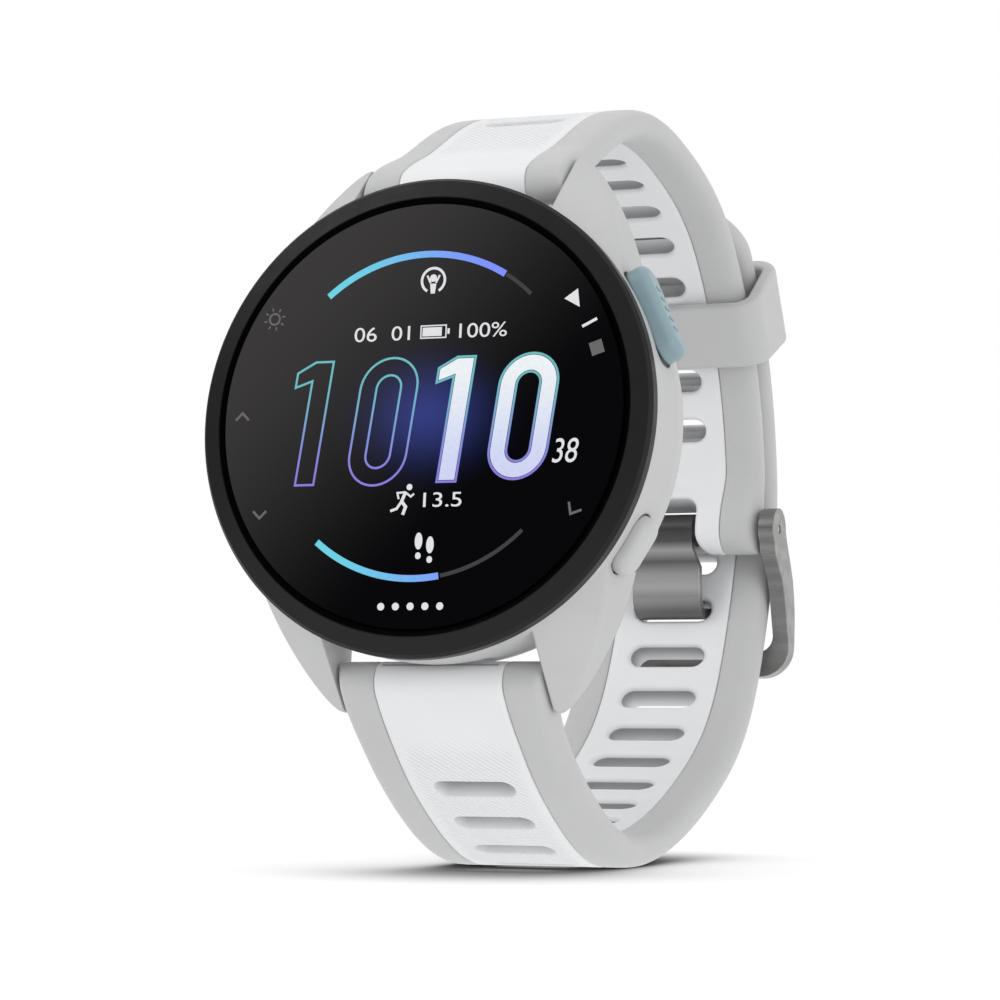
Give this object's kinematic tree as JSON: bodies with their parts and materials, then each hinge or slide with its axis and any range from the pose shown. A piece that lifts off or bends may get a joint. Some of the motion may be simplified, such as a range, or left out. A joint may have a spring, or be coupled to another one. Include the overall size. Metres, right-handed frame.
{
  "type": "gps running watch",
  "caption": "Round sports watch with a black bezel, side buttons, optical sensor back and a two-tone silicone band closed by a pin buckle and a keeper.",
  "frame": {"origin": "middle of the lens front", "axes": "+X to 3 o'clock, +Z to 12 o'clock, +Y from the screen back into the wrist, so the screen faces -Y; the band is buckled round the opening behind the head"},
  "size_m": [0.0449, 0.0736, 0.0729],
  "materials": {
    "case_grey": "light grey fibre-filled polymer, fine matt grain",
    "bezel_black": "charcoal, satin, moulded",
    "lens_glass": "polished chemically hardened glass over a black printed border",
    "adhesive": "black foam tape",
    "display": "black display stack",
    "flex_amber": "polyimide ribbon",
    "frame_black": "black moulded carrier",
    "antenna_copper": "etched copper strip",
    "board_green": "circuit board with solder mask",
    "shield_tin": "tinned shield can",
    "battery_foil": "laminated foil pouch",
    "motor_steel": "drawn steel can",
    "seal_black": "elastomer seal",
    "cover_grey": "grey polymer rear cover",
    "screw_steel": "stainless screw",
    "window_dark": "dark sensor window",
    "lamp_clear": "small lamps and light sensors",
    "contact_gold": "gold-plated contacts",
    "switch_black": "tactile switches",
    "button_blue": "blue-grey button cap",
    "button_grey": "light grey button cap",
    "clip_steel": "spring steel clip",
    "strap_grey": "soft-touch light grey silicone",
    "strap_white": "soft-touch white silicone",
    "bar_steel": "stainless spring bar",
    "buckle_steel": "brushed stainless steel"
  },
  "bodies": {
    "head": {"case_body": "case_grey", "bezel": "bezel_black", "lens": "lens_glass", "lens_gasket": "adhesive", "display_panel": "display", "display_ribbon": "flex_amber", "mid_frame": "frame_black", "gps_antenna": "antenna_copper", "main_board": "board_green", "board_shield": "shield_tin", "battery": "battery_foil", "vibration_motor": "motor_steel", "buzzer": "motor_steel", "pressure_sensor": "shield_tin", "side_switches": "switch_black", "button_seals": "seal_black", "rear_cover": "cover_grey", "rear_cover_gasket": "seal_black", "rear_cover_screws": "screw_steel", "sensor_window": "window_dark", "sensor_board": "board_green", "sensor_lamps": "lamp_clear", "charge_port": "frame_black", "charge_contacts": "contact_gold"},
    "start_stop_key": {"start_stop_button": "button_blue", "start_stop_clip": "clip_steel"},
    "back_key": {"back_button": "button_grey", "back_clip": "clip_steel"},
    "light_key": {"light_button": "button_grey", "light_clip": "clip_steel"},
    "up_key": {"up_button": "button_grey", "up_clip": "clip_steel"},
    "down_key": {"down_button": "button_grey", "down_clip": "clip_steel"},
    "band": {"short_strap_rails": "strap_grey", "short_strap_inlay": "strap_white", "long_strap_rails": "strap_grey", "long_strap_inlay": "strap_white", "upper_bar_tube": "bar_steel", "upper_bar_fixed_tip": "bar_steel", "upper_bar_spring": "clip_steel", "lower_bar_tube": "bar_steel", "lower_bar_fixed_tip": "bar_steel", "lower_bar_spring": "clip_steel", "buckle_pin": "bar_steel"},
    "upper_release": {"upper_bar_release_tip": "bar_steel"},
    "lower_release": {"lower_bar_release_tip": "bar_steel"},
    "tongue": {"buckle_tongue": "buckle_steel"},
    "buckle": {"buckle_frame": "buckle_steel"},
    "loop_keeper": {"keeper": "strap_grey"}
  },
  "joints": [
    {"name": "start_stop_press", "type": "slide", "parent": "head", "child": "start_stop_key", "axis": [-0.8829, 0, -0.4695], "range_m": [0, 0.00045]},
    {"name": "back_press", "type": "slide", "parent": "head", "child": "back_key", "axis": [-0.866, 0, 0.5], "range_m": [0, 0.00045]},
    {"name": "light_press", "type": "slide", "parent": "head", "child": "light_key", "axis": [0.866, 0, -0.5], "range_m": [0, 0.00045]},
    {"name": "up_press", "type": "slide", "parent": "head", "child": "up_key", "axis": [1, 0, 0], "range_m": [0, 0.00045]},
    {"name": "down_press", "type": "slide", "parent": "head", "child": "down_key", "axis": [0.866, 0, 0.5], "range_m": [0, 0.00045]},
    {"name": "band_swing", "type": "hinge", "parent": "head", "child": "band", "pos_m": [0, 0.0086, 0.0227], "axis": [1, 0, 0], "range_deg": [0, 90], "deforming": ["lower_bar_fixed_tip", "lower_bar_release_tip"]},
    {"name": "upper_release_slide", "type": "slide", "parent": "band", "child": "upper_release", "axis": [-1, 0, 0], "range_m": [0, 0.0011], "deforming": ["upper_bar_spring"]},
    {"name": "lower_release_slide", "type": "slide", "parent": "band", "child": "lower_release", "axis": [-1, 0, 0], "range_m": [0, 0.0011], "deforming": ["lower_bar_spring"]},
    {"name": "tongue_swing", "type": "hinge", "parent": "band", "child": "tongue", "pos_m": [0, 0.0666, 0.0004], "axis": [-1, 0, 0], "range_deg": [0, 70]},
    {"name": "buckle_swing", "type": "hinge", "parent": "band", "child": "buckle", "pos_m": [0, 0.0666, 0.0004], "axis": [1, 0, 0], "range_deg": [0, 110]},
    {"name": "keeper_slide", "type": "hinge", "parent": "band", "child": "loop_keeper", "pos_m": [0, 0.03, -0.001], "axis": [1, 0, 0], "range_deg": [-16, 8]}
  ]
}
